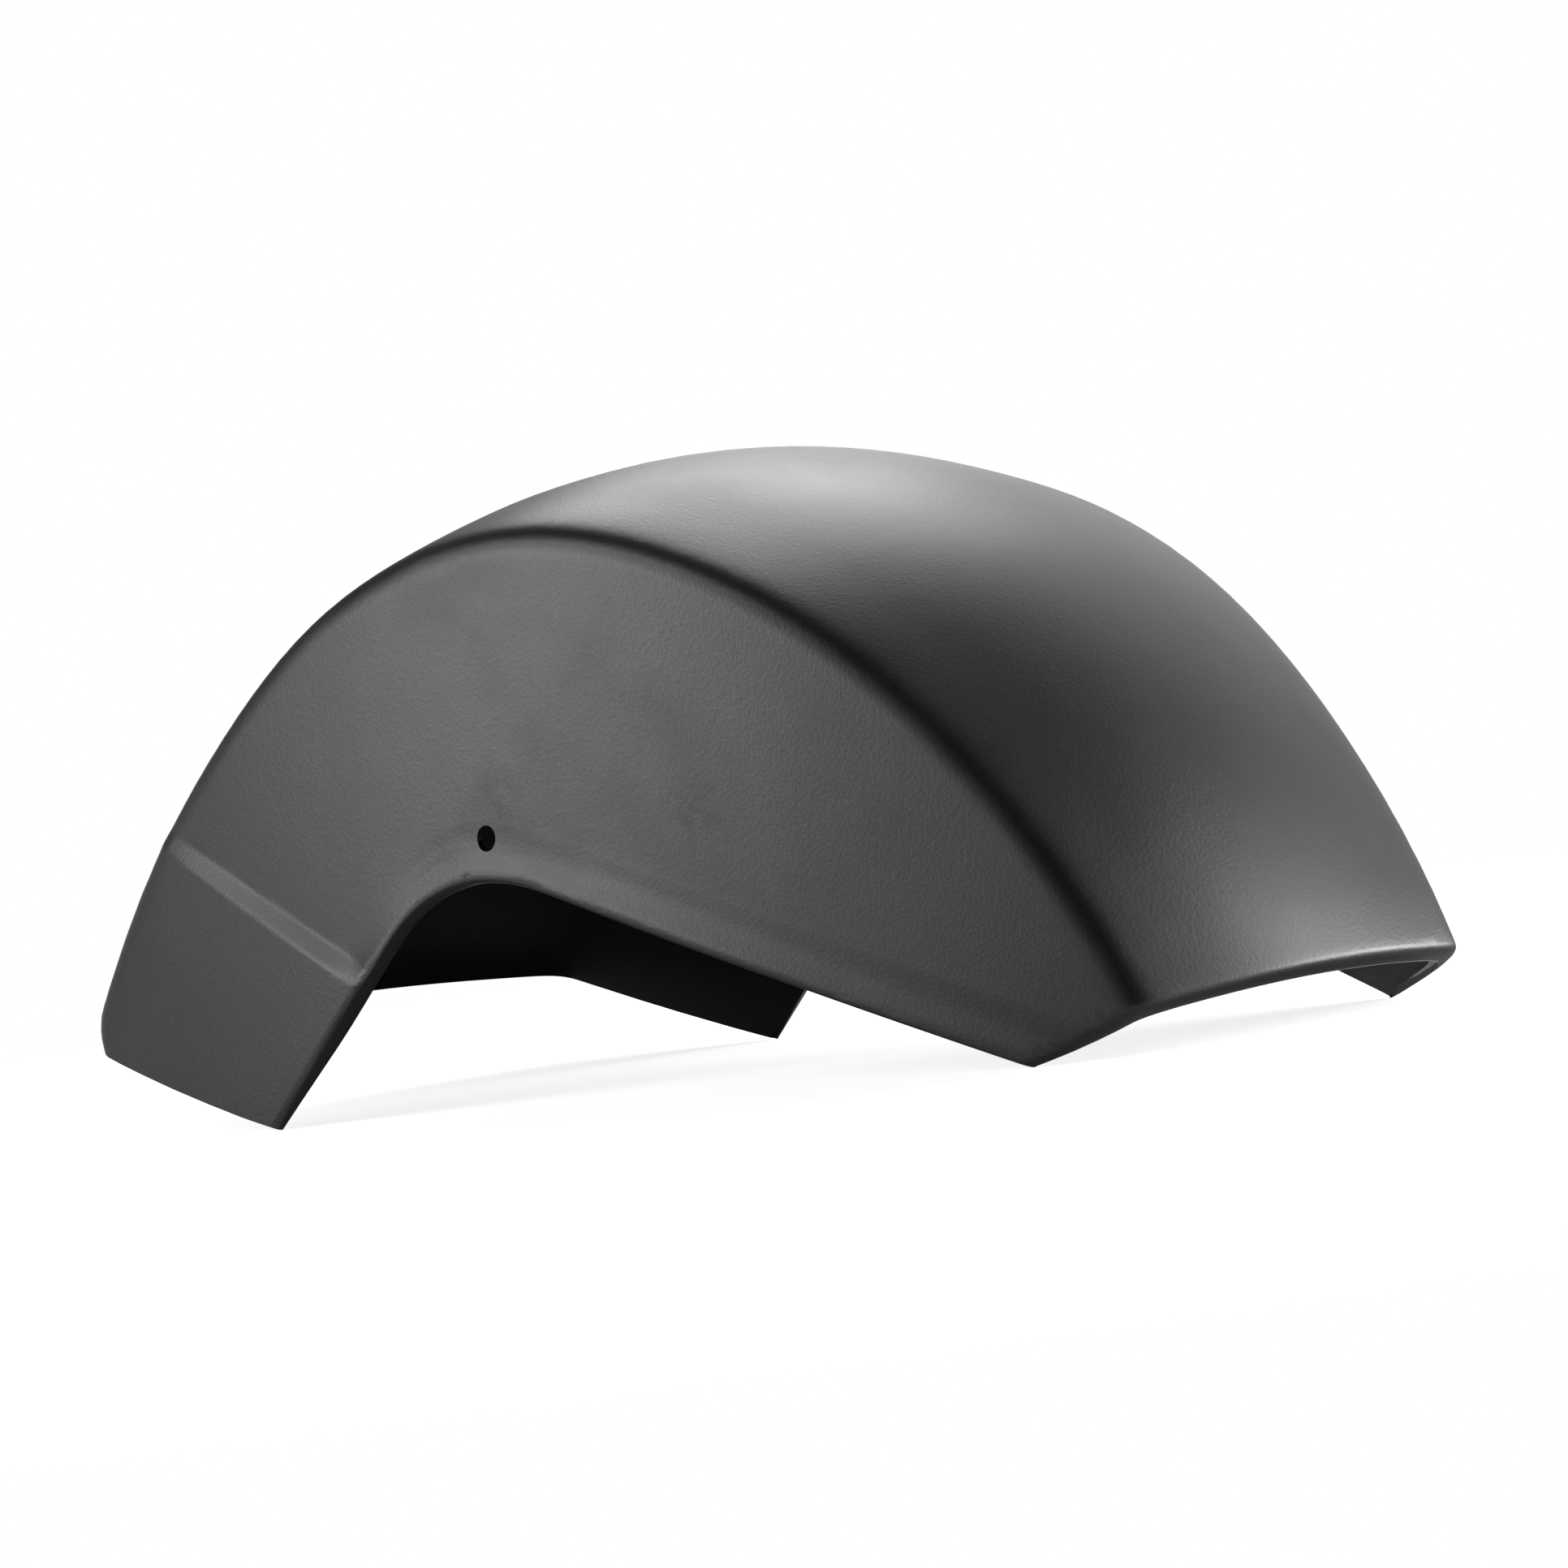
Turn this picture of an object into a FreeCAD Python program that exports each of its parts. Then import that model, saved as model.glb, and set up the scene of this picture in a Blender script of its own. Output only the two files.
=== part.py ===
import FreeCAD, Part
import math
import os

# A scooter mudguard: one sheet of plastic formed over a mould, trimmed and drilled.
# Millimetres and degrees. X points forward, Y to the left, Z up. It stands on its four lower tips.
# Angles are read about the wheel's axle, from straight ahead and up over the crown.

WALL = 2.2                      # thickness of the sheet
AXLE_DROP = 64.3                # the axle lies this far below the plane of the tips

# Crown: its middle line runs about the axle, a little nearer or farther at some angles.
CROWN_RADIUS = 280.0
CROWN_LINE = ((16.0, 0.9812), (37.0, 0.9680), (60.0, 0.9838), (86.0, 1.0068), (107.0, 0.9975),
              (126.0, 0.9846), (142.0, 1.0028), (159.0, 1.0508))
CROWN_ACROSS = 290.0            # radius from side to side
CREST_BEND = 14.0               # width of the soft bend from the crown to a side
CREST_BEND_FRONT = 11.0         # the same at the front end, where the bend is tighter
BEND_FADE = 90.0                # the front end's bend has come down to the other one here

# Side panels: bowed in plan, and leaning out a little towards the tips.
HALF_WIDTH = 119.0              # at the widest place, on the plane of the tips
WIDEST_X = -112.0               # the widest place lies behind the axle
PLAN_RADIUS = 1630.0            # bow of a side in plan
DRAFT = 0.6                     # lean of a side

# Lower edge of a side: up the front of the leg, round the arch, and down to the nose.
LEG_TIP_X = -135.8
NOSE_TIP_X = 210.2
LEG_SLOPE = 39.7
NOSE_SLOPE = 20.6
ARCH_RADIUS = 75.0
FLARE = 3.2                     # the edge is flared out by this much
FLARE_REACH = 14.0              # height of the flare above the edge
NOSE_FLARE = 1.1                # the flare at the nose's tip
FLARE_FADE = 50.0               # the flare is whole behind this angle
EDGE_RETURN = 5.5               # width of the edge's roll to the inside
EDGE_ROLL = 5.0                 # height of the roll
ROLL_FADE_FRONT = 28.0          # the roll grows from the nose's tip over this angle
ROLL_FADE_REAR = 18.0           # and from the leg's tip over this one
TIP_RETURN = 1.5                # what the roll and the lip have left at the tips

# The leg's lower part stands out from the rest by a joggle across the leg.
JOGGLE_CREST_ANGLE = 137.3      # where the joggle meets the crest
JOGGLE_EDGE_ANGLE = 124.3       # and the lower edge
JOGGLE_RUN = 7.5                # width of the step's slope
JOGGLE_BEND = 0.27              # share of the slope that each of its soft corners takes
CREST_JOGGLE = 2.0              # height of the step below the crest, and half of it goes round

# Front end: folded in to a lip, and bowed from tip to tip.
FRONT_ANGLE = 17.15             # where it meets the crests
FRONT_BOW = 1.4                 # the middle of the crown stands back by this much
NOSE_BOW = 0.8                  # and the sides' front edges stand forward by this much
BOW_FADE = 18.0                 # the bow is gone behind this many degrees
LIP_DEPTH = 6.5                 # on the crown
LIP_SIDE = 6.0                  # beside the crests
LIP_BEND = 4.5                  # the fold starts this far behind the end

# Rear end: the crown is tucked in, and the legs are trimmed with a bow.
REAR_ANGLE = 158.5              # where it meets the crests
REAR_TUCK = 7.0
TUCK_LENGTH = 16.0
REAR_BOW = 1.4                  # of the legs' lower ends
REAR_DROP = 2.0                 # the middle of the crown's end hangs lower by this much

# One bolt hole in each side, for the fork.
HOLE_DIAMETER = 9.0
HOLE_X = -9.5
HOLE_Z = 94.1

# The surface follows rows over the mudguard.
ROW_STEP = 6.0                  # angle between two rows
SKEW_ANGLE = 98.0               # behind this angle the rows lean over to follow the joggle
ZONE_SHARE = 0.4                # a flare or roll takes no more than this share of a low side


def between(value, low, high):
    """How far value lies from low to high, held to 0..1."""
    return min(1.0, max(0.0, (value - low) / (high - low)))


def ray(angle):
    return math.cos(math.radians(angle)), math.sin(math.radians(angle))


def crown_radius(angle):
    """Smooth curve through CROWN_LINE, with the slope at each point taken from its neighbours."""
    line = [(a, share * CROWN_RADIUS) for a, share in CROWN_LINE]
    last = len(line) - 1
    slopes = []
    for i in range(last + 1):
        a, b = line[max(i - 1, 0)], line[min(i + 1, last)]
        slopes.append((b[1] - a[1]) / (b[0] - a[0]))
    i = 0
    while i < last - 1 and angle > line[i + 1][0]:
        i += 1
    (a0, r0), (a1, r1) = line[i], line[i + 1]
    span = a1 - a0
    t = (angle - a0) / span
    if t < 0.0:
        return r0 + slopes[0] * (angle - a0)
    if t > 1.0:
        return r1 + slopes[last] * (angle - a1)
    near = (1 + 2 * t) * r0 + t * span * slopes[i]
    far = (3 - 2 * t) * r1 + (t - 1) * span * slopes[i + 1]
    return (1 - t) ** 2 * near + t ** 2 * far


def half_width(x, z):
    """Half the width of the outside at a place on a side."""
    return HALF_WIDTH - (x - WIDEST_X) ** 2 / (2 * PLAN_RADIUS) - z * math.tan(math.radians(DRAFT))


def tip_angle(x):
    """Angle of a tip seen from the axle."""
    return math.degrees(math.atan2(AXLE_DROP, x))


def edge_point(angle):
    """The lower edge of a side seen from the axle at this angle: leg, arch or nose."""
    leg, nose = math.radians(LEG_SLOPE), math.radians(NOSE_SLOPE)
    apex_x = (NOSE_TIP_X * math.tan(nose) + LEG_TIP_X * math.tan(leg)) / (math.tan(leg) + math.tan(nose))
    apex_z = (apex_x - LEG_TIP_X) * math.tan(leg)
    # The arch's centre lies below the apex, on the line that halves the corner.
    lean = (leg - nose) / 2
    reach = ARCH_RADIUS / math.cos((leg + nose) / 2)
    centre_x = apex_x + reach * math.sin(lean)
    centre_z = apex_z - reach * math.cos(lean)
    cos, sin = ray(angle)
    to_leg = (AXLE_DROP - LEG_TIP_X * math.tan(leg)) / (sin - cos * math.tan(leg))
    to_nose = (AXLE_DROP + NOSE_TIP_X * math.tan(nose)) / (sin + cos * math.tan(nose))
    off_x, off_z = centre_x, centre_z + AXLE_DROP
    along = off_x * cos + off_z * sin
    aside = off_x * sin - off_z * cos
    to_arch = along + math.sqrt(max(0.0, ARCH_RADIUS ** 2 - aside ** 2))
    distance = to_leg if to_nose <= 0 or 0 < to_leg < to_nose else to_nose
    x, z = distance * cos, distance * sin - AXLE_DROP
    # The arch rounds the corner off between its two tangent points.
    start = centre_x - ARCH_RADIUS * math.sin(leg)
    end = centre_x + ARCH_RADIUS * math.sin(nose)
    if start < x < end:
        return to_arch * cos, to_arch * sin - AXLE_DROP
    return x, z


class Row:
    """One row of the surface: a line over the mudguard from one lower edge to the other."""

    def __init__(self, crest, edge, raised=0.0, tuck=0.0, folded=False):
        self.crest = crest          # angle at the crest
        self.edge = edge            # angle at the lower edge
        self.raised = raised        # 1 below the joggle
        self.tuck = tuck            # 1 at the rear end
        self.folded = folded        # the end of the front lip
        self.front = 1.0 - between(crest, FRONT_ANGLE, FRONT_ANGLE + BOW_FADE)
        softer = 1.0 - between(crest, FRONT_ANGLE, BEND_FADE)
        self.bend = CREST_BEND + (CREST_BEND_FRONT - CREST_BEND) * softer

    def crest_point(self, inset):
        """The sharp corner of crown and side, before the bend rounds it."""
        cos, sin = ray(self.crest)
        y = HALF_WIDTH
        for _ in range(20):
            r = crown_radius(self.crest) - y * y / (2 * CROWN_ACROSS) - inset - REAR_TUCK * self.tuck
            y = half_width(r * cos, r * sin - AXLE_DROP) - inset + CREST_JOGGLE / 2 * self.raised
        return r * cos, y, r * sin - AXLE_DROP

    def stations(self, height, inset):
        """Distance from the lower edge, and how far out of the plain panel, up to below the crest."""
        top = height - self.bend
        flare_top = min(FLARE_REACH, ZONE_SHARE * top)
        roll = min(EDGE_ROLL, ZONE_SHARE * flare_top)
        above = flare_top + min(FLARE_REACH, ZONE_SHARE * (top - flare_top))
        nose, tip = tip_angle(NOSE_TIP_X), tip_angle(LEG_TIP_X)
        grown = between(self.edge - nose, 0.0, ROLL_FADE_FRONT) * between(tip - self.edge, 0.0, ROLL_FADE_REAR)
        back = TIP_RETURN + (EDGE_RETURN - TIP_RETURN) * grown
        flare = NOSE_FLARE + (FLARE - NOSE_FLARE) * between(self.edge, nose, FLARE_FADE)
        level, crest = FLARE * self.raised, CREST_JOGGLE * self.raised
        slope = flare + (level - flare) * roll / flare_top
        return ((inset, flare - back + inset), (inset, flare), (roll, slope), (flare_top, level),
                (above, level), ((above + top) / 2, (level + crest) / 2), (top, crest))

    def side(self, inset):
        """Points up the left side, from the inner end of the edge's roll to just below the crest."""
        x0, z0 = edge_point(self.edge)
        x1, _, z1 = self.crest_point(inset)
        height = math.hypot(x1 - x0, z1 - z0)
        points = []
        for distance, out in self.stations(height, inset):
            t = distance / height
            bow = (REAR_BOW * self.tuck - NOSE_BOW * self.front) * 4 * t * (1 - t)
            x = x0 + (x1 - x0) * t - bow * (z1 - z0) / height
            z = z0 + (z1 - z0) * t + bow * (x1 - x0) / height
            y = half_width(x, z) - inset + out
            if self.folded:
                y -= TIP_RETURN + (LIP_SIDE - TIP_RETURN) * t
            points.append(FreeCAD.Vector(x, y, z))
        return points

    def over(self, inset):
        """The crest and the left half of the crown, up to the middle."""
        x, y, z = self.crest_point(inset)
        cos, sin = ray(self.crest)
        fold = LIP_DEPTH if self.folded else 0.0
        if self.folded:
            y -= LIP_SIDE
        points = [FreeCAD.Vector(x - fold * cos, y, z - fold * sin)]
        shoulder = y - self.bend
        spacing = shoulder / 2
        radius = crown_radius(self.crest) - inset - REAR_TUCK * self.tuck - fold
        for share in (1.0, 0.5, 0.0):
            across = shoulder * share
            # A soft row runs inside its points by this much, so they are lifted.
            r = radius + (spacing ** 2 / 4 - across ** 2) / (2 * CROWN_ACROSS)
            back = (FRONT_BOW * self.front + REAR_DROP * self.tuck) * (1 - (across / y) ** 2)
            cos, sin = ray(self.crest + math.degrees(back / r))
            points.append(FreeCAD.Vector(r * cos, across, r * sin - AXLE_DROP))
        return points

    def points(self, inset):
        half = self.side(inset) + self.over(inset)
        if inset:
            # The inside stops one wall behind the front face of the lip.
            cos, sin = ray(self.crest)
            forward = between(self.crest, FRONT_ANGLE + ROW_STEP, FRONT_ANGLE)
            back = FreeCAD.Vector(-sin, 0, cos) * (inset * forward)
            half = [p + back for p in half]
        mirrored = [FreeCAD.Vector(p.x, -p.y, p.z) for p in reversed(half[:-1])]
        return half + mirrored


def all_rows():
    """Rows from the front lip to the rear end. Each stretch bends from the middle of a pair of rows."""
    nose = tip_angle(NOSE_TIP_X)
    bend = math.degrees(2 * LIP_BEND / crown_radius(FRONT_ANGLE))
    rows = [Row(FRONT_ANGLE, nose, folded=True), Row(FRONT_ANGLE, nose), Row(FRONT_ANGLE + bend, nose + bend)]
    angle = FRONT_ANGLE + ROW_STEP
    while angle < SKEW_ANGLE:
        rows.append(Row(angle, angle))
        angle += ROW_STEP
    # Lean over to the joggle.
    crest_span, edge_span = JOGGLE_CREST_ANGLE - SKEW_ANGLE, JOGGLE_EDGE_ANGLE - SKEW_ANGLE
    steps = round(crest_span / ROW_STEP)
    for i in range(steps):
        rows.append(Row(SKEW_ANGLE + crest_span * i / steps, SKEW_ANGLE + edge_span * i / steps))
    # The step of the joggle.
    edge_x, edge_z = edge_point(JOGGLE_EDGE_ANGLE)
    crest_run = math.degrees(JOGGLE_RUN / crown_radius(JOGGLE_CREST_ANGLE))
    edge_run = math.degrees(JOGGLE_RUN / math.hypot(edge_x, edge_z + AXLE_DROP))
    for across in (-JOGGLE_BEND, 0.0, JOGGLE_BEND, 1.0 - JOGGLE_BEND, 1.0, 1.0 + JOGGLE_BEND):
        raised = between(across, 0.0, 1.0)
        share = across - 0.5
        rows.append(Row(JOGGLE_CREST_ANGLE + crest_run * share, JOGGLE_EDGE_ANGLE + edge_run * share, raised))
    # Down the leg to the tucked end.
    crest_span = REAR_ANGLE - JOGGLE_CREST_ANGLE
    edge_span = tip_angle(LEG_TIP_X) - JOGGLE_EDGE_ANGLE
    tuck = math.degrees(TUCK_LENGTH / crown_radius(REAR_ANGLE)) / crest_span
    start = 1 - 1.5 * tuck
    for t, tucked in ((start / 2, 0.0), (start, 0.0), (1 - tuck / 2, 0.0), (1.0, 1.0)):
        rows.append(Row(JOGGLE_CREST_ANGLE + crest_span * t, JOGGLE_EDGE_ANGLE + edge_span * t, 1.0, tucked))
    return rows


def soft_surface(net):
    """Surface that bends softly round each inner point of the net and ends on its border."""
    def knots(count):
        return list(range(count - 1)), [3] + [1] * (count - 3) + [3]
    u_knots, u_mults = knots(len(net))
    v_knots, v_mults = knots(len(net[0]))
    surface = Part.BSplineSurface()
    surface.buildFromPolesMultsKnots(net, u_mults, v_mults, u_knots, v_knots, False, False, 2, 2)
    return surface


def sheet():
    """The outside and the inside, joined by the sheet's cut edges to one solid."""
    rows = all_rows()
    skins = [soft_surface([row.points(inset) for row in rows]) for inset in (0.0, WALL)]
    u_ends, v_ends = (0, len(rows) - 2), (0, len(rows[0].points(0.0)) - 2)
    faces = [skin.toShape() for skin in skins]
    faces += [Part.makeRuledSurface(*[skin.uIso(u).toShape() for skin in skins]) for u in u_ends]
    faces += [Part.makeRuledSurface(*[skin.vIso(v).toShape() for skin in skins]) for v in v_ends]
    shell = Part.makeCompound(faces)
    shell.sewShape(0.001)
    solid = Part.Solid(shell.Shells[0])
    if solid.Volume < 0:
        solid.reverse()
    return solid


def drill(side):
    """A drill square to the side panel, through its hole."""
    normal = FreeCAD.Vector((HOLE_X - WIDEST_X) / PLAN_RADIUS, 1.0, math.tan(math.radians(DRAFT)))
    normal.normalize()
    reach = WALL + HOLE_DIAMETER
    start = FreeCAD.Vector(HOLE_X, half_width(HOLE_X, HOLE_Z), HOLE_Z) - normal * reach
    start.y *= side
    normal.y *= side
    return Part.makeCylinder(HOLE_DIAMETER / 2, 2 * reach, start, normal)


def mudguard():
    shell = sheet().cut(Part.makeCompound([drill(1), drill(-1)])).Solids[0]
    # The origin lies on the ground below the middle of the length.
    box = shell.optimalBoundingBox(True, False)
    shell.translate(FreeCAD.Vector(-box.Center.x, 0, -box.ZMin))
    return shell


os.makedirs("parts", exist_ok=True)
mudguard().exportStep("parts/mudguard_shell.step")
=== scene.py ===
import math

import bmesh
import bpy
from bpy.props import FloatProperty, FloatVectorProperty, PointerProperty
from mathutils import Matrix, Vector


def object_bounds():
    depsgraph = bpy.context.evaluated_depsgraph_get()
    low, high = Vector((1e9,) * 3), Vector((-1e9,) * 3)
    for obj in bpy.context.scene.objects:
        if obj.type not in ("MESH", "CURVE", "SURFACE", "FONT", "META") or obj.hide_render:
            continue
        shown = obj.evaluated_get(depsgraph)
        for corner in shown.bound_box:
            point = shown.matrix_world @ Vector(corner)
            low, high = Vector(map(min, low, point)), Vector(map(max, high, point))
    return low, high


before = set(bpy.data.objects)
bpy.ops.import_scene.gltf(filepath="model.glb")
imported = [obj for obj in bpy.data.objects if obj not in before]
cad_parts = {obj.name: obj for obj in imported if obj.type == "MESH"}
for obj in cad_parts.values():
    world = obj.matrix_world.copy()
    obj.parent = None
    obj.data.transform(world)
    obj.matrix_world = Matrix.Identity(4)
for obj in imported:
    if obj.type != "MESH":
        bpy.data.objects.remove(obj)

bl_info = {
    "name": "Scooter mudguard",
    "version": (1, 0, 0),
    "blender": (4, 5, 0),
    "location": "View3D > Sidebar > Mudguard",
    "description": "Dresses a formed plastic scooter mudguard and sets it on a studio floor",
    "category": "Object",
}

SHELL = "mudguard_shell"
LAMPS = ("side_low", "side_high", "nose_low", "nose_high", "back", "back_high", "top", "broad")
CAD_BOX = [list(corner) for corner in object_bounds()]
MILLIMETRE = 0.001
WHITE = (1.0, 1.0, 1.0, 1.0)

# Places are in metres, in the frame of the part. A pair is where a soft step starts and where it ends.
AXLE = (0.00366, 0.0, -0.0643)

# Lower edge of a side: the tips, the slopes of the leg and the nose, and how widely the arch rounds them off.
LEG_TIP = -0.1321
LEG_SLOPE = math.radians(39.7)
NOSE_TIP = 0.2139
NOSE_SLOPE = math.radians(20.6)
ARCH_ROUNDING = 0.064

# Relief above that edge: heights of the flare's two bends and of the roll, with their depths in millimetres.
LOW_BEND = (0.003, 0.013)
LOW_BEND_DEPTH = 0.2
LOW_BEND_DEEPER = 0.9
HIGH_BEND = (0.009, 0.020)
HIGH_BEND_DEPTH = 0.55
ROLL = (0.0, 0.0055)
ROLL_DEPTH = 0.6
# Turns about the axle, from level ahead: where the low bend gets deeper, and where the flare's relief fades.
OVER_THE_ARCH = (math.radians(75.0), math.radians(106.0))
DOWN_TO_THE_JOGGLE = (math.radians(106.0), math.radians(127.0))

# Grain, in cells: scale and reach of the push on the cells' edges, the finer noise, and the share of each.
PUSH_SCALE = 0.6
PUSH_REACH = 0.9
FINE_SCALE = 2.2
CELL_SMOOTHNESS = 0.6
CELL_SHARE = 0.8
FINE_SHARE = 0.35

# Noise cells in a metre, and the levels of the noise between which each finish appears.
WAVES_SCALE = 14.0
CLOUDS_SCALE = 9.0
CLOUDS = (0.42, 0.72)
SPECKS_SCALE = 700.0
SPECKS = (0.70, 0.78)
STREAKS_SCALE = 260.0
STREAKS = (0.5, 0.75)
RUB_SCALE = 260.0
RUB = (0.35, 0.65)

# Streaks: how much the noise is flattened upwards to draw them out, and the end of the shell that has them.
STREAK_FLATTENING = 0.06
REAR_END = (-0.245, -0.205)

# Places on the right side that something has rubbed, seen from the side, and how far each one reaches.
RUBBED = ((0.001, 0.108, 0.010), (0.092, 0.093, 0.011), (0.174, 0.080, 0.013))
# Shares of that reach within which the rub is whole and beyond which it is gone, and where the right side is.
RUBBED_WHOLE = 0.2
RUBBED_FADED = 1.6
RIGHT_SIDE = (-0.08, -0.06)

# How much each finish adds to the dust and to the roughness.
BLOOM_DUST = 0.35
SPECK_DUST = 0.5
STREAK_DUST = 0.4
RUB_DUST = -0.25
BLOOM_ROUGHNESS = 0.06
FINE_ROUGHNESS = 0.10
RUB_ROUGHNESS = 0.05
CUT_ROUGHNESS = 0.3
# The plastic's gloss, how little of it the inside has, and where the painted light inside the nose, a lighter
# grey, begins and is whole.
PLASTIC_IOR = 1.5
INSIDE_SPECULAR = 0.15
NOSE_PAINTED_LIGHT = (0.15, 0.23)

# Cut end of the front lip: its radius about the axle, the radius of its bow, its left corner and its ends.
LIP_END = (0.2685, 0.2691)
LIP_ACROSS = 0.29
LIP_CORNER = 0.057
LIP_CORNER_DROP = 7.5
LIP_FRONT = (0.235, 0.237)
LIP_RIGHT = (-0.062, -0.058)
LIP_LEFT = (0.070, 0.072)
# Cut of the left side's lip: front, foot, lower and upper line as rises from the axle, and its inner part.
SIDE_LIP_FRONT = (0.220, 0.222)
SIDE_LIP_FOOT = (0.006, 0.008)
SIDE_LIP_LOWER = (0.3100, 0.3115)
SIDE_LIP_UPPER = (0.3155, 0.3165)
FACING_IN = (-0.5, -0.2)

# How far a face looks away from the axle on the outside, and the allowance for the roll at the lower edge.
FACING_OUT = (-0.35, -0.15)
ROLL_ALLOWANCE = 0.8
ROLL_TOP = (0.006, 0.009)

# Stage: the shaded floor's reach and grey, the white that gloss meets on floor and wall, and the camera.
SHADED_FLOOR = (0.45, 1.1)
FLOOR_GREY = (0.6, 0.6, 0.6, 1.0)
FLOOR_BEHIND = (0.8, 2.0)
FLOOR_BEFORE = (-0.4, -0.15)
WALL_BEYOND = (0.2, 0.8)
WALL_TOP = (0.05, 0.35)
SENSOR_WIDTH = 36.0
FARTHEST_SEEN = 100.0


class Socket:
    """An output in a node tree. Sums with numbers and other outputs add Math nodes to the tree."""

    def __init__(self, tree, output):
        self.tree = tree
        self.output = output

    def sum(self, operation, first, second):
        return self.tree.node("ShaderNodeMath", {"operation": operation}, (first, second))

    def __add__(self, other):
        return self.sum("ADD", self, other)

    def __sub__(self, other):
        return self.sum("SUBTRACT", self, other)

    def __rsub__(self, other):
        return self.sum("SUBTRACT", other, self)

    def __mul__(self, other):
        return self.sum("MULTIPLY", self, other)

    def __truediv__(self, other):
        return self.sum("DIVIDE", self, other)

    def __pow__(self, other):
        return self.sum("POWER", self, other)

    __radd__ = __add__
    __rmul__ = __mul__


class Tree:
    """The node tree of a material or a world, written from its inputs to its shader."""

    def __init__(self, owner):
        owner.use_nodes = True
        self.nodes = owner.node_tree.nodes
        self.links = owner.node_tree.links
        self.nodes.clear()

    def node(self, kind, settings=None, inputs=None, output=0):
        """Any node: its settings first, then the values or links of its sockets, by name or by place."""
        made = self.nodes.new(kind)
        for name, value in (settings or {}).items():
            setattr(made, name, value)
        pairs = inputs.items() if isinstance(inputs, dict) else enumerate(inputs or ())
        for key, value in pairs:
            if isinstance(value, Socket):
                self.links.new(value.output, made.inputs[key])
            else:
                made.inputs[key].default_value = value
        return Socket(self, made.outputs[output]) if made.outputs else None

    def step(self, value, low, high):
        """Soft step of a value from 0 at low to 1 at high."""
        return self.node("ShaderNodeMapRange", {"interpolation_type": "SMOOTHSTEP"},
                         {"Value": value, "From Min": low, "From Max": high})

    def noise(self, place, scale, detail, roughness):
        return self.node("ShaderNodeTexNoise", None,
                         {"Vector": place, "Scale": scale, "Detail": detail, "Roughness": roughness})

    def tint(self, mask, first, second):
        """Colour that goes from first to second with the mask."""
        return self.node("ShaderNodeMix", {"data_type": "RGBA"}, {0: mask, 6: first, 7: second}, 2)

    def vector(self, operation, first, second=(0.0, 0.0, 0.0), output=0):
        return self.node("ShaderNodeVectorMath", {"operation": operation}, (first, second), output)

    def dot(self, first, second):
        return self.vector("DOT_PRODUCT", first, second, 1)

    def axes(self, place):
        """The three numbers of a place."""
        return [self.node("ShaderNodeSeparateXYZ", None, (place,), axis) for axis in range(3)]

    def bump(self, height, distance, below=None):
        """Normal of a relief that lies on the relief below it, if there is one."""
        inputs = {"Strength": 1.0, "Distance": distance, "Height": height}
        if below:
            inputs["Normal"] = below
        return self.node("ShaderNodeBump", None, inputs)


def opaque(colour):
    return (*colour, 1.0)


def lamp_way(title, turn, height):
    """Place of a lamp, from degrees."""
    return FloatVectorProperty(
        name=title, unit="ROTATION", size=2, default=(math.radians(turn), math.radians(height)),
        description="Where the lamp hangs, seen from the object: turn from ahead of the nose, and height")


def lamp_size(title, width, height):
    return FloatVectorProperty(
        name=title + " size", description="Width and height of the lamp", unit="LENGTH", size=2,
        default=(width, height))


def lamp_power(title, power):
    return FloatProperty(
        name=title + " power", description="Power of the lamp", unit="POWER", min=0.0, default=power)


class ShellSettings(bpy.types.PropertyGroup):
    """The plastic of the shell."""
    colour: FloatVectorProperty(
        name="Plastic", description="Colour of the formed sheet", subtype="COLOR", size=3,
        min=0.0, max=1.0, default=(0.010, 0.010, 0.0105))
    dust_colour: FloatVectorProperty(
        name="Dust", description="Colour of the dull bloom that lies on the plastic", subtype="COLOR", size=3,
        min=0.0, max=1.0, default=(0.020, 0.020, 0.021))
    cut_colour: FloatVectorProperty(
        name="Cut edge", description="Colour of the trimmed edge of the front lip", subtype="COLOR", size=3,
        min=0.0, max=1.0, default=(0.45, 0.45, 0.44))
    # Painted light: a lighter grey for the inside of the nose, standing in for the light that falls there.
    inside_painted_light: FloatVectorProperty(
        name="Inside painted light", description="Colour of the light painted inside the nose", subtype="COLOR", size=3,
        min=0.0, max=1.0, default=(0.12, 0.12, 0.12))
    roughness: FloatProperty(
        name="Roughness", description="Roughness of the outside", subtype="FACTOR",
        min=0.0, max=1.0, default=0.41)
    inside_roughness: FloatProperty(
        name="Inside roughness", description="Roughness of the dull inside", subtype="FACTOR",
        min=0.0, max=1.0, default=0.7)
    grain_size: FloatProperty(
        name="Grain size", description="Size of a cell of the moulded grain", unit="LENGTH",
        min=0.0002, default=0.0013)
    grain_depth: FloatProperty(
        name="Grain depth", description="Depth of the moulded grain", unit="LENGTH", min=0.0, default=0.00005)
    wave_depth: FloatProperty(
        name="Wave depth", description="Depth of the slow waves left by forming the sheet", unit="LENGTH",
        min=0.0, default=0.0004)


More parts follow.
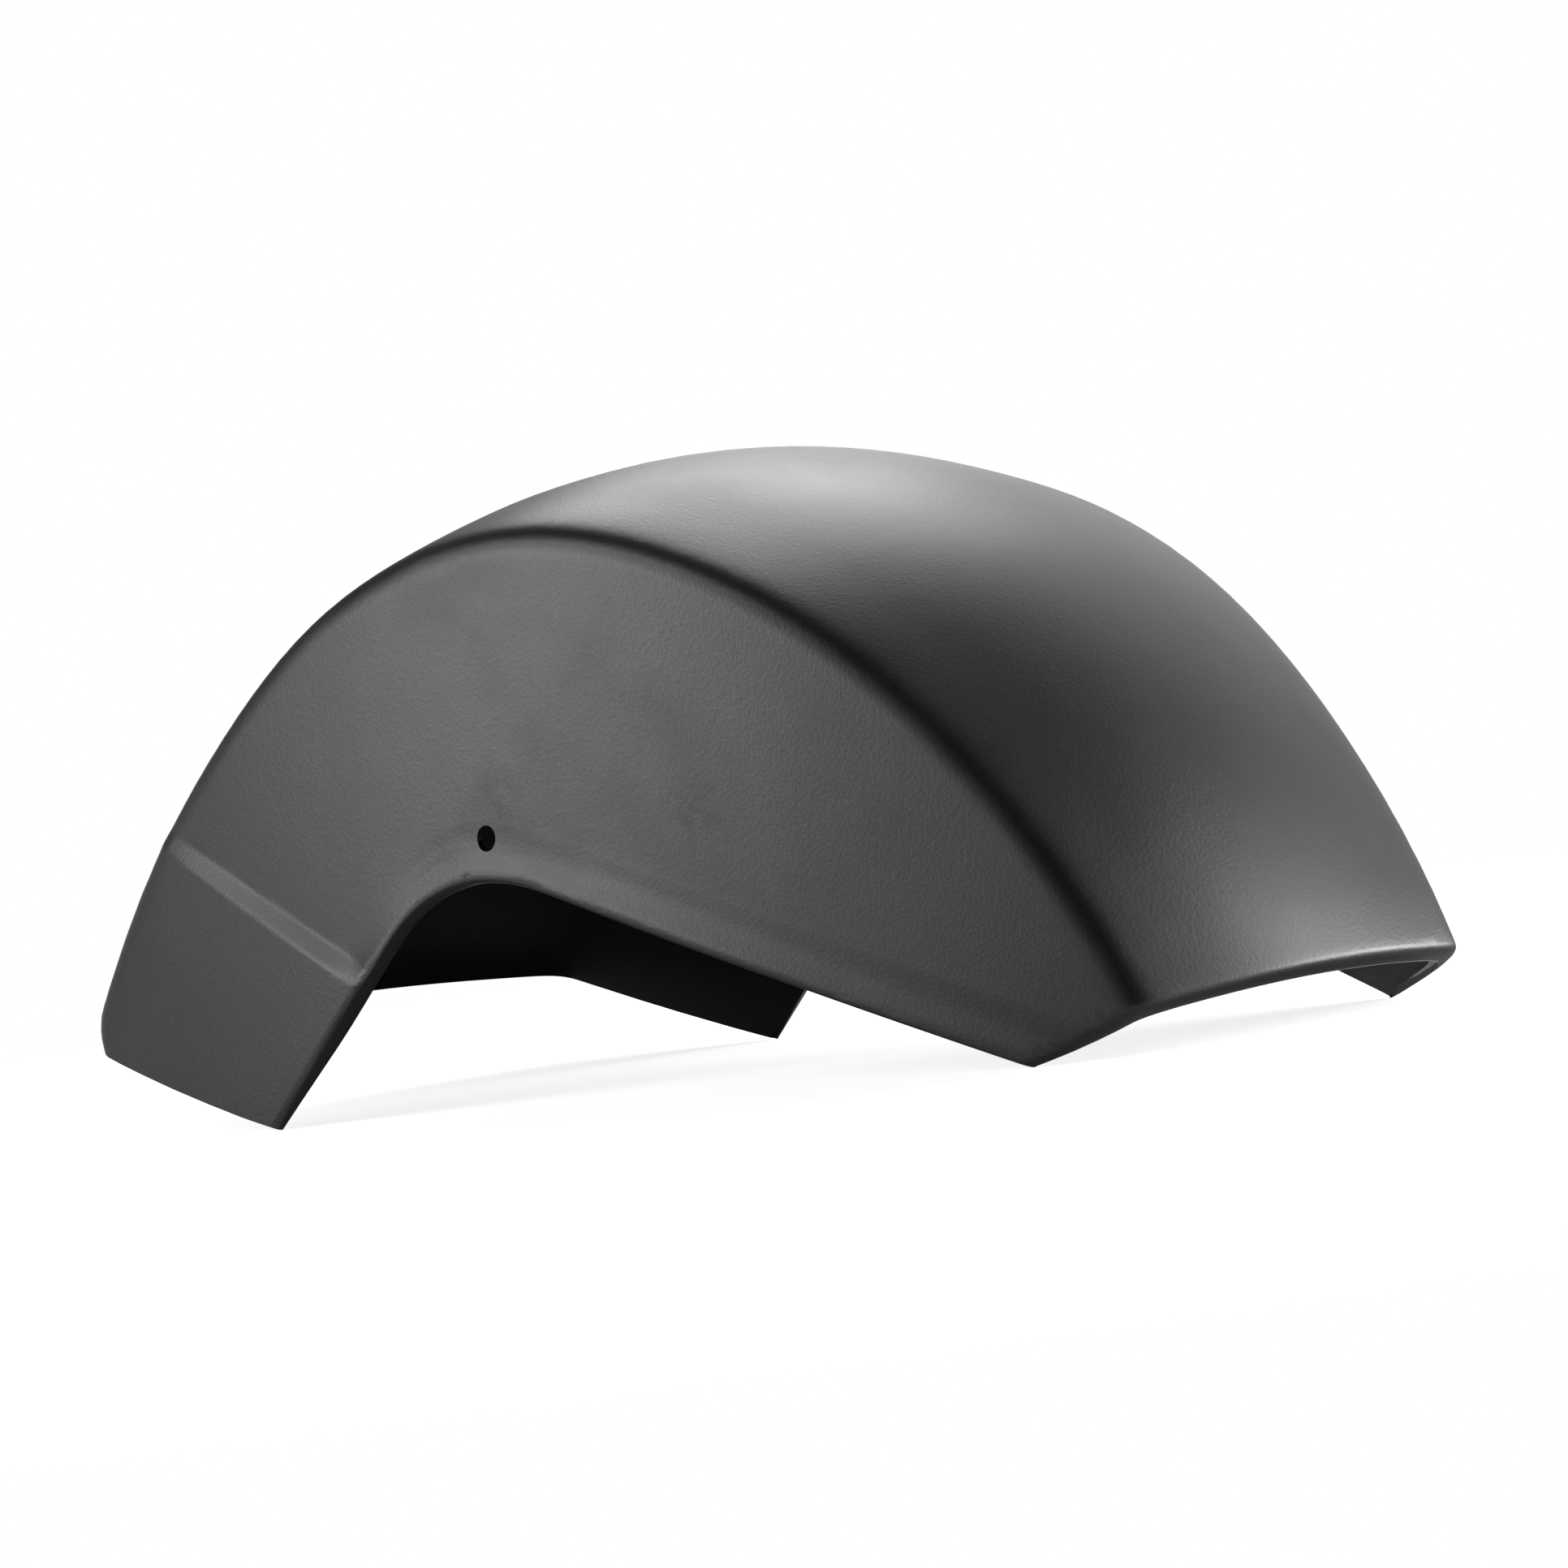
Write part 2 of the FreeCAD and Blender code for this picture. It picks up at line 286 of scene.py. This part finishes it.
class StageSettings(bpy.types.PropertyGroup):
    """Floor, lamps and camera."""
    floor_size: FloatProperty(
        name="Floor", description="Side of the square floor", unit="LENGTH", min=1.0, default=14.0)
    floor_glow: FloatProperty(
        name="Floor white", description="White added to the lit floor where the camera sees it",
        min=0.0, max=1.0, default=0.82)
    aim: FloatVectorProperty(
        name="Aim", description="Point that the camera looks at", subtype="TRANSLATION", unit="LENGTH", size=3,
        default=(0.02185, -0.00008, 0.09813))
    distance: FloatProperty(
        name="Distance", description="From the camera to its aim", unit="LENGTH", min=0.1, default=2.2659)
    azimuth: FloatProperty(
        name="Azimuth", description="Turn of the view, from looking along +Y", subtype="ANGLE",
        default=math.radians(47.326))
    elevation: FloatProperty(
        name="Elevation", description="Height of the view above level", subtype="ANGLE",
        default=math.radians(0.695))
    roll: FloatProperty(
        name="Roll", description="The camera's right side dips by this", subtype="ANGLE",
        default=math.radians(7.744))
    lens: FloatProperty(
        name="Lens", description="Focal length on a sensor 36 mm wide", min=10.0, default=148.54)
    lamp_distance: FloatProperty(
        name="Lamp distance", description="From the object to each lamp", unit="LENGTH", min=0.5, default=2.0)
    side_low_way: lamp_way("Low side lamp", 233.3, 10.3)
    side_low_size: lamp_size("Low side lamp", 0.62, 0.81)
    side_low_power: lamp_power("Low side lamp", 16.6)
    side_high_way: lamp_way("High side lamp", 235.0, 35.0)
    side_high_size: lamp_size("High side lamp", 1.22, 0.75)
    side_high_power: lamp_power("High side lamp", 10.5)
    nose_low_way: lamp_way("Low nose lamp", 52.5, 4.5)
    nose_low_size: lamp_size("Low nose lamp", 0.92, 0.42)
    nose_low_power: lamp_power("Low nose lamp", 33.5)
    nose_high_way: lamp_way("High nose lamp", 45.0, 21.5)
    nose_high_size: lamp_size("High nose lamp", 0.4, 0.87)
    nose_high_power: lamp_power("High nose lamp", 15.0)
    back_way: lamp_way("Back lamp", 136.0, 40.0)
    back_size: lamp_size("Back lamp", 0.83, 0.42)
    back_power: lamp_power("Back lamp", 6.17)
    back_high_way: lamp_way("High back lamp", 117.0, 48.0)
    back_high_size: lamp_size("High back lamp", 0.62, 0.81)
    back_high_power: lamp_power("High back lamp", 5.0)
    top_way: lamp_way("Top lamp", 136.0, 66.0)
    top_size: lamp_size("Top lamp", 0.63, 0.42)
    top_power: lamp_power("Top lamp", 4.43)
    broad_way: lamp_way("Broad lamp", 112.0, 34.0)
    broad_size: lamp_size("Broad lamp", 2.1, 1.6)
    broad_power: lamp_power("Broad lamp", 12.6)
    wall: FloatProperty(
        name="Wall", description="White of the wall beyond the object, in its gloss",
        min=0.0, max=1.0, default=0.6)
    front: FloatProperty(
        name="Front", description="White of the floor on the camera's side, in the object's gloss",
        min=0.0, max=1.0, default=0.5)
    fill: FloatProperty(
        name="Fill", description="Even light from all round", min=0.0, max=1.0, default=0.04)


def above_edge(tree, place):
    """How far a place on a side lies above the side's lower edge."""
    x, _, z = tree.axes(place)
    leg = z * math.cos(LEG_SLOPE) - (x - LEG_TIP) * math.sin(LEG_SLOPE)
    nose = z * math.cos(NOSE_SLOPE) + (x - NOSE_TIP) * math.sin(NOSE_SLOPE)
    return tree.node("ShaderNodeMath", {"operation": "SMOOTH_MAX"}, (leg, nose, ARCH_ROUNDING))


def edge_relief(tree, above, from_axle):
    """Millimetres out of the shell at a side's lower edge, where the flare is short and the roll is soft."""
    ahead, _, up = tree.axes(from_axle)
    turn = tree.node("ShaderNodeMath", {"operation": "ARCTAN2"}, (up, ahead))
    low_depth = LOW_BEND_DEPTH + LOW_BEND_DEEPER * tree.step(turn, *OVER_THE_ARCH)
    flare = (low_depth * (1 - tree.step(above, *LOW_BEND))
             + HIGH_BEND_DEPTH * (1 - tree.step(above, *HIGH_BEND)))
    roll = ROLL_DEPTH * (1 - tree.step(above, *ROLL))
    return (tree.step(turn, *DOWN_TO_THE_JOGGLE) - 1) * flare - roll


def moulded_grain(tree, place, size):
    """Rounded cells with their edges pushed about, over a finer noise. Gives the relief and the fine noise."""
    push = tree.node("ShaderNodeTexNoise", None, {"Vector": place, "Scale": PUSH_SCALE / size}, 1)
    pushed = tree.node("ShaderNodeVectorMath", {"operation": "MULTIPLY_ADD"},
                       {0: push, 1: [size * PUSH_REACH] * 3, 2: place})
    cells = tree.node("ShaderNodeTexVoronoi", {"feature": "SMOOTH_F1"},
                      {"Vector": pushed, "Scale": 1 / size, "Smoothness": CELL_SMOOTHNESS})
    fine = tree.noise(place, FINE_SCALE / size, detail=3.0, roughness=0.6)
    return cells * CELL_SHARE + fine * FINE_SHARE, fine


def dull_bloom(tree, place):
    return tree.step(tree.noise(place, CLOUDS_SCALE, detail=5.0, roughness=0.62), *CLOUDS)


def fine_specks(tree, place):
    return tree.step(tree.noise(place, SPECKS_SCALE, detail=2.0, roughness=0.5), *SPECKS)


def rear_streaks(tree, place):
    """Streaks down the drawn rear end."""
    stretched = tree.vector("MULTIPLY", place, (1.0, 1.0, STREAK_FLATTENING))
    drawn = tree.noise(stretched, STREAKS_SCALE, detail=2.0, roughness=0.5)
    return tree.step(drawn, *STREAKS) * (1 - tree.step(tree.axes(place)[0], *REAR_END))


def rubbed_places(tree, place):
    """Rubbed places on the right side, broken up by a noise."""
    x, y, z = tree.axes(place)
    rubbed = 0.0
    for rub_x, rub_z, reach in RUBBED:
        away = ((x - rub_x) ** 2.0 + (z - rub_z) ** 2.0) ** 0.5
        rubbed = (1 - tree.step(away, RUBBED_WHOLE * reach, RUBBED_FADED * reach)) + rubbed
    broken = tree.step(tree.noise(place, RUB_SCALE, detail=3.0, roughness=0.6), *RUB)
    return rubbed * (1 - tree.step(y, *RIGHT_SIDE)) * broken


def pale_cut(tree, place, from_axle, normal):
    """The trimmed end of the front lip, which shows the pale core of the sheet."""
    x, y, z = tree.axes(place)
    ahead, across, up = tree.axes(from_axle)
    corner = tree.node("ShaderNodeMath", {"operation": "MAXIMUM"}, (y - LIP_CORNER, 0.0))
    radius = ((ahead ** 2.0 + up ** 2.0) ** 0.5 + across ** 2.0 / (2 * LIP_ACROSS)
              + corner ** 2.0 * LIP_CORNER_DROP)
    front = (tree.step(x, *LIP_FRONT) * (1 - tree.step(radius, *LIP_END))
             * tree.step(y, *LIP_RIGHT) * (1 - tree.step(y, *LIP_LEFT)))
    # Round the left corner it shows a little way down the side's lip, on the inner part of the cut.
    rise = up / ahead
    inward = 1 - tree.step(tree.axes(normal)[1], *FACING_IN)
    side = (inward * tree.step(y, *LIP_LEFT) * tree.step(x, *SIDE_LIP_FRONT) * tree.step(z, *SIDE_LIP_FOOT)
            * tree.step(rise, *SIDE_LIP_LOWER) * (1 - tree.step(rise, *SIDE_LIP_UPPER)))
    return front + side


def shows_outside(tree, place, from_axle, normal, above):
    """1 where a face looks away from the axle, and on what is rolled in at the lower edges."""
    side = tree.node("ShaderNodeMath", {"operation": "SIGN"}, (tree.axes(place)[1],))
    aside = tree.axes(normal)[1] * side
    outward = tree.dot(normal, tree.vector("NORMALIZE", from_axle))
    rolled = (aside + ROLL_ALLOWANCE) * (1 - tree.step(above, *ROLL_TOP))
    return tree.step(outward + rolled, *FACING_OUT)


def moulded_plastic(settings):
    """Matt black sheet with a fine leather grain, slow waves, dust, rubbed places, a pale cut edge and painted
    light inside the nose.
    """
    material = bpy.data.materials.new("matt_black_plastic")
    tree = Tree(material)
    place = tree.node("ShaderNodeTexCoord", None, None, "Object")
    normal = tree.node("ShaderNodeNewGeometry", None, None, "Normal")
    from_axle = tree.vector("SUBTRACT", place, AXLE)
    above = above_edge(tree, place)
    grain, fine = moulded_grain(tree, place, settings.grain_size)
    bloom = dull_bloom(tree, place)
    rubbed = rubbed_places(tree, place)
    cut = pale_cut(tree, place, from_axle, normal)

    dust = (bloom * BLOOM_DUST + fine_specks(tree, place) * SPECK_DUST
            + rear_streaks(tree, place) * STREAK_DUST + rubbed * RUB_DUST)
    colour = tree.tint(dust, opaque(settings.colour), opaque(settings.dust_colour))
    roughness = (settings.roughness + bloom * BLOOM_ROUGHNESS + (fine - 0.5) * FINE_ROUGHNESS
                 + rubbed * RUB_ROUGHNESS + cut * CUT_ROUGHNESS)
    waves = tree.bump(tree.noise(place, WAVES_SCALE, detail=2.0, roughness=0.45), settings.wave_depth)
    flared = tree.bump(edge_relief(tree, above, from_axle), MILLIMETRE, waves)
    outside = tree.node("ShaderNodeBsdfPrincipled", None,
                        {"Base Color": tree.tint(cut, colour, opaque(settings.cut_colour)),
                         "Roughness": roughness, "Normal": tree.bump(grain, settings.grain_depth, flared),
                         "IOR": PLASTIC_IOR})

    # The inside is dull and black, with painted light in the nose: a lighter grey where light falls in from
    # the front.
    nose = tree.step(tree.axes(place)[0], *NOSE_PAINTED_LIGHT)
    inside_colour_with_painted_light = tree.tint(nose, opaque(settings.colour), opaque(settings.inside_painted_light))
    inside = tree.node("ShaderNodeBsdfPrincipled", None,
                       {"Base Color": tree.tint(cut, inside_colour_with_painted_light, opaque(settings.cut_colour)),
                        "Roughness": settings.inside_roughness, "Normal": waves,
                        "IOR": PLASTIC_IOR, "Specular IOR Level": INSIDE_SPECULAR})
    surface = tree.node("ShaderNodeMixShader", None,
                        (shows_outside(tree, place, from_axle, normal, above), inside, outside))
    tree.node("ShaderNodeOutputMaterial", None, {"Surface": surface})
    return material


def light_path(tree, *names):
    """Which kind of ray is traced, as numbers of 0 or 1."""
    return [tree.node("ShaderNodeLightPath", None, None, name) for name in names]


def beyond_the_object(settings, tree, way):
    """How far a place or direction lies behind the object, seen from the camera."""
    return tree.dot(way, (-math.sin(settings.azimuth), math.cos(settings.azimuth), 0.0))


def floor_white(settings):
    """Lit pale floor. The camera sees it white, with the object's shadow. Gloss sees parts of it white."""
    material = bpy.data.materials.new("white_floor")
    tree = Tree(material)
    place = tree.node("ShaderNodeTexCoord", None, None, "Object")
    near = 1 - tree.step(tree.vector("LENGTH", place, output=1), *SHADED_FLOOR)
    camera, gloss, through = light_path(tree, "Is Camera Ray", "Is Glossy Ray", "Is Transmission Ray")
    beyond = beyond_the_object(settings, tree, place)
    around = (tree.step(beyond, *FLOOR_BEHIND) * settings.wall
              + (1 - tree.step(beyond, *FLOOR_BEFORE)) * settings.front)
    seen = camera + through + gloss * around
    lit = tree.node("ShaderNodeBsdfDiffuse", None, {"Color": FLOOR_GREY})
    glow = tree.node("ShaderNodeEmission", None, {"Color": WHITE, "Strength": settings.floor_glow})
    bright = tree.node("ShaderNodeAddShader", None, (lit, glow))
    white = tree.node("ShaderNodeEmission", None, {"Color": WHITE, "Strength": 1.0})
    shown = tree.node("ShaderNodeMixShader", None, (near, white, bright))
    surface = tree.node("ShaderNodeMixShader", None, (seen, lit, shown))
    tree.node("ShaderNodeOutputMaterial", None, {"Surface": surface})
    return material


def white_world(settings):
    """White all round for the camera, a white wall behind the object in its gloss, and an even fill."""
    world = bpy.data.worlds.new("studio")
    tree = Tree(world)
    way = tree.node("ShaderNodeTexCoord", None, None, "Generated")
    height = tree.axes(way)[2]
    beyond = beyond_the_object(settings, tree, way)
    wall = tree.step(beyond, *WALL_BEYOND) * (1 - tree.step(height, *WALL_TOP))
    camera, gloss, through = light_path(tree, "Is Camera Ray", "Is Glossy Ray", "Is Transmission Ray")
    rest = 1 - camera - through
    strength = camera + through + gloss * wall * settings.wall + rest * settings.fill
    light = tree.node("ShaderNodeBackground", None, {"Color": WHITE, "Strength": strength})
    tree.node("ShaderNodeOutputWorld", None, {"Surface": light})
    return world


def lay_floor(settings):
    mesh = bpy.data.meshes.new("floor")
    sheet = bmesh.new()
    bmesh.ops.create_grid(sheet, x_segments=1, y_segments=1, size=settings.floor_size / 2)
    sheet.to_mesh(mesh)
    sheet.free()
    floor = bpy.data.objects.new("floor", mesh)
    floor.data.materials.append(floor_white(settings))
    bpy.context.scene.collection.objects.link(floor)


def hang_lamp(settings, name):
    """A soft rectangular lamp that faces the middle of the object."""
    turn, height = getattr(settings, name + "_way")
    data = bpy.data.lights.new(name + "_lamp", "AREA")
    data.shape = "RECTANGLE"
    data.size, data.size_y = getattr(settings, name + "_size")
    data.energy = getattr(settings, name + "_power")
    lamp = bpy.data.objects.new(name + "_lamp", data)
    low, high = CAD_BOX
    middle = (Vector(low) + Vector(high)) / 2
    way = Vector((math.cos(turn) * math.cos(height), math.sin(turn) * math.cos(height), math.sin(height)))
    lamp.location = middle + way * settings.lamp_distance
    lamp.rotation_euler = way.to_track_quat("Z", "Y").to_euler()
    lamp.visible_camera = False
    bpy.context.scene.collection.objects.link(lamp)


def set_camera(settings):
    data = bpy.data.cameras.new("camera")
    data.sensor_width = SENSOR_WIDTH
    data.lens = settings.lens
    data.clip_end = FARTHEST_SEEN
    camera = bpy.data.objects.new("camera", data)
    turn = (Matrix.Rotation(settings.azimuth, 3, "Z")
            @ Matrix.Rotation(math.pi / 2 - settings.elevation, 3, "X")
            @ Matrix.Rotation(-settings.roll, 3, "Z"))
    camera.rotation_euler = turn.to_euler()
    camera.location = Vector(settings.aim) + turn @ Vector((0.0, 0.0, settings.distance))
    bpy.context.scene.collection.objects.link(camera)
    bpy.context.scene.camera = camera


class MUDGUARD_OT_shell(bpy.types.Operator):
    """Dress the formed shell in matt black plastic"""
    bl_idname = "mudguard.shell"
    bl_label = "Shell"

    def execute(self, context):
        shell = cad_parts[SHELL]
        material = moulded_plastic(context.scene.mudguard_shell)
        for slot in shell.material_slots:
            slot.material = material
        return {"FINISHED"}


class MUDGUARD_OT_stage(bpy.types.Operator):
    """Lay the floor, hang the lamps and set the camera"""
    bl_idname = "mudguard.stage"
    bl_label = "Stage"

    def execute(self, context):
        settings = context.scene.mudguard_stage
        lay_floor(settings)
        for name in LAMPS:
            hang_lamp(settings, name)
        context.scene.world = white_world(settings)
        context.scene.view_settings.view_transform = "Standard"
        set_camera(settings)
        return {"FINISHED"}


class MUDGUARD_PT_panel(bpy.types.Panel):
    """Sizes and colours of the mudguard and its stage"""
    bl_idname = "MUDGUARD_PT_panel"
    bl_label = "Mudguard"
    bl_space_type = "VIEW_3D"
    bl_region_type = "UI"
    bl_category = "Mudguard"

    def draw(self, context):
        layout = self.layout
        for operator, settings in ((MUDGUARD_OT_shell, context.scene.mudguard_shell),
                                   (MUDGUARD_OT_stage, context.scene.mudguard_stage)):
            layout.operator(operator.bl_idname)
            for name in settings.bl_rna.properties.keys():
                if name not in ("rna_type", "name"):
                    layout.prop(settings, name)


CLASSES = (ShellSettings, StageSettings, MUDGUARD_OT_shell, MUDGUARD_OT_stage, MUDGUARD_PT_panel)


def register():
    for item in CLASSES:
        bpy.utils.register_class(item)
    bpy.types.Scene.mudguard_shell = PointerProperty(type=ShellSettings)
    bpy.types.Scene.mudguard_stage = PointerProperty(type=StageSettings)


def unregister():
    del bpy.types.Scene.mudguard_stage
    del bpy.types.Scene.mudguard_shell
    for item in reversed(CLASSES):
        bpy.utils.unregister_class(item)


def main():
    register()
    bpy.ops.mudguard.shell()
    bpy.ops.mudguard.stage()


if __name__ == "__main__":
    main()
